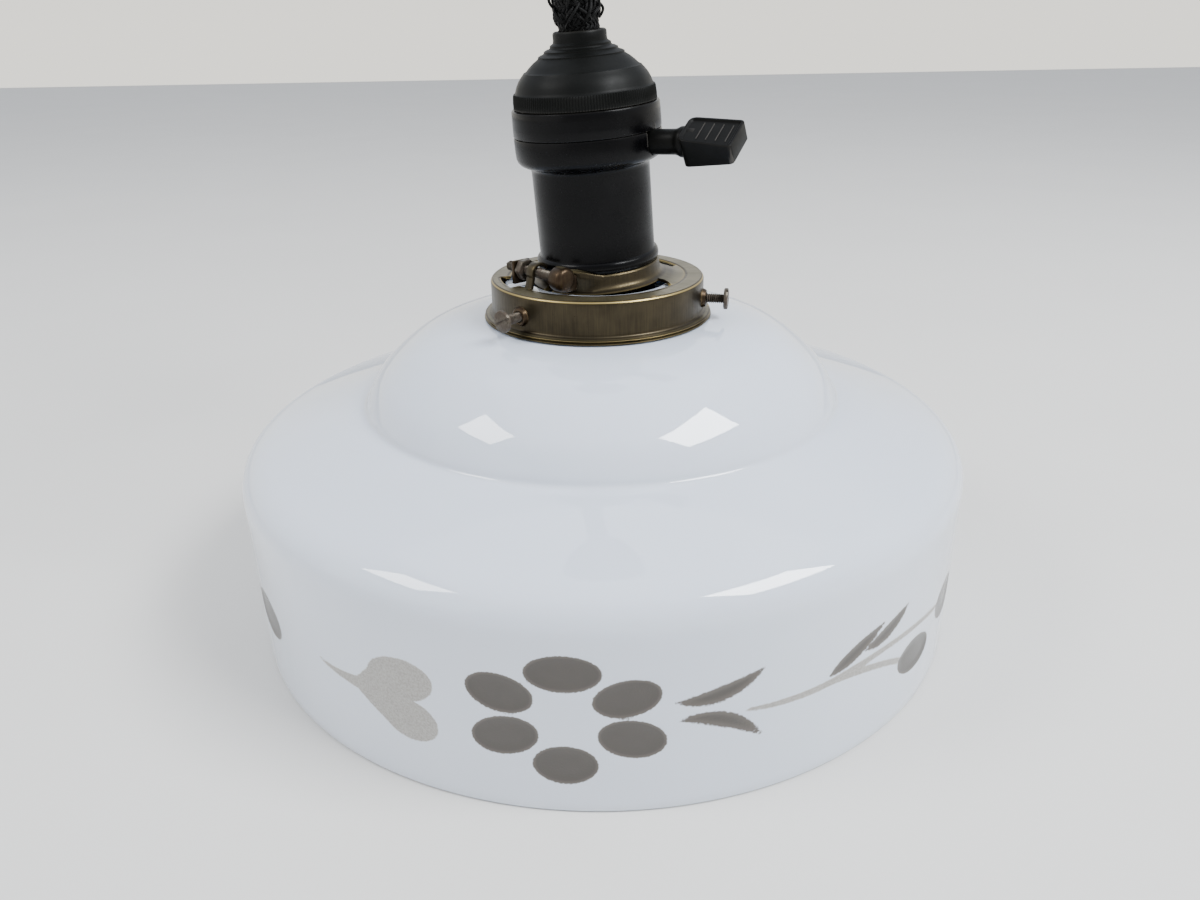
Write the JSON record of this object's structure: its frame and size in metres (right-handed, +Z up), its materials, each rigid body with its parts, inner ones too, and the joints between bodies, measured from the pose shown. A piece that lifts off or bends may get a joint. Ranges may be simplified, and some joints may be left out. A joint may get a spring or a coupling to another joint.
{
  "type": "pendant ceiling light",
  "caption": "Pendant light: wide opal glass shade with a raised dome in a brass screw fitter, hung from a black key-switch lamp socket on a braided cord and a ceiling rose.",
  "frame": {"origin": "centre of the rose's flat back, where it meets the ceiling", "axes": "+Z up through the ceiling face, the light hangs towards -Z, the front faces -Y, +X to the right seen from the front"},
  "size_m": [0.2214, 0.2214, 0.3005],
  "materials": {
    "opal_glass": "glossy opal white, ground rim",
    "aged_brass": "tarnished sheet brass, bright on worn edges",
    "dark_steel": "oxidised steel with light rust",
    "brass_parts": "turned and stamped brass",
    "bakelite": "black moulded phenolic, low sheen",
    "porcelain": "glazed off-white",
    "spring_steel": "drawn wire",
    "black_cotton": "braided cotton",
    "rubber_wire": "rubber insulation"
  },
  "bodies": {
    "fitting": {"glass_shade": "opal_glass", "shade_holder": "aged_brass", "clamp_nut": "dark_steel", "socket_cap": "bakelite", "socket_body": "bakelite", "socket_skirt": "bakelite", "fixed_contact_1": "brass_parts", "fixed_contact_2": "brass_parts", "inner_block": "porcelain", "bulb_shell": "brass_parts", "pendant_cord": "black_cotton", "cord_knot": "rubber_wire", "rose_base": "bakelite", "rose_cap": "bakelite", "terminal_plate_1": "brass_parts", "terminal_screw_1": "brass_parts", "body_screw_1": "dark_steel", "conductor_1": "rubber_wire", "rose_terminal_1": "brass_parts", "rose_screw_1": "brass_parts", "rose_conductor_1": "rubber_wire", "terminal_plate_2": "brass_parts", "terminal_screw_2": "brass_parts", "body_screw_2": "dark_steel", "conductor_2": "rubber_wire", "rose_terminal_2": "brass_parts", "rose_screw_2": "brass_parts", "rose_conductor_2": "rubber_wire"},
    "key": {"key_handle": "bakelite", "key_shaft": "brass_parts", "switch_cam": "porcelain", "bridge_contact": "brass_parts", "key_spring": "spring_steel"},
    "clamp_screw": {"clamp_screw": "dark_steel"},
    "centre_contact": {"centre_contact": "brass_parts"},
    "neck_screw_1": {"neck_screw_1": "dark_steel"},
    "neck_screw_2": {"neck_screw_2": "dark_steel"},
    "neck_screw_3": {"neck_screw_3": "dark_steel"}
  },
  "joints": [
    {"name": "key_turn", "type": "hinge", "parent": "fitting", "child": "key", "pos_m": [-0.00242, -0.00122, -0.15722], "axis": [0.8642, -0.5016, 0.0409], "continuous": true},
    {"name": "neck_screw_1_out", "type": "slide", "parent": "fitting", "child": "neck_screw_1", "axis": [0.9744, -0.225, 0], "range_m": [0, 0.004]},
    {"name": "neck_screw_2_out", "type": "slide", "parent": "fitting", "child": "neck_screw_2", "axis": [-0.682, -0.7314, 0], "range_m": [0, 0.004]},
    {"name": "neck_screw_3_out", "type": "slide", "parent": "fitting", "child": "neck_screw_3", "axis": [-0.2924, 0.9563, 0], "range_m": [0, 0.004]},
    {"name": "clamp_screw_out", "type": "slide", "parent": "fitting", "child": "clamp_screw", "axis": [-0.6561, 0.7547, 0], "range_m": [0, 0.006]},
    {"name": "centre_contact_press", "type": "slide", "parent": "fitting", "child": "centre_contact", "axis": [-0.0656, -0.0317, 0.9973], "range_m": [0, 0.0015], "stiffness_N_per_m": 600, "springref_m": -0.0005}
  ]
}
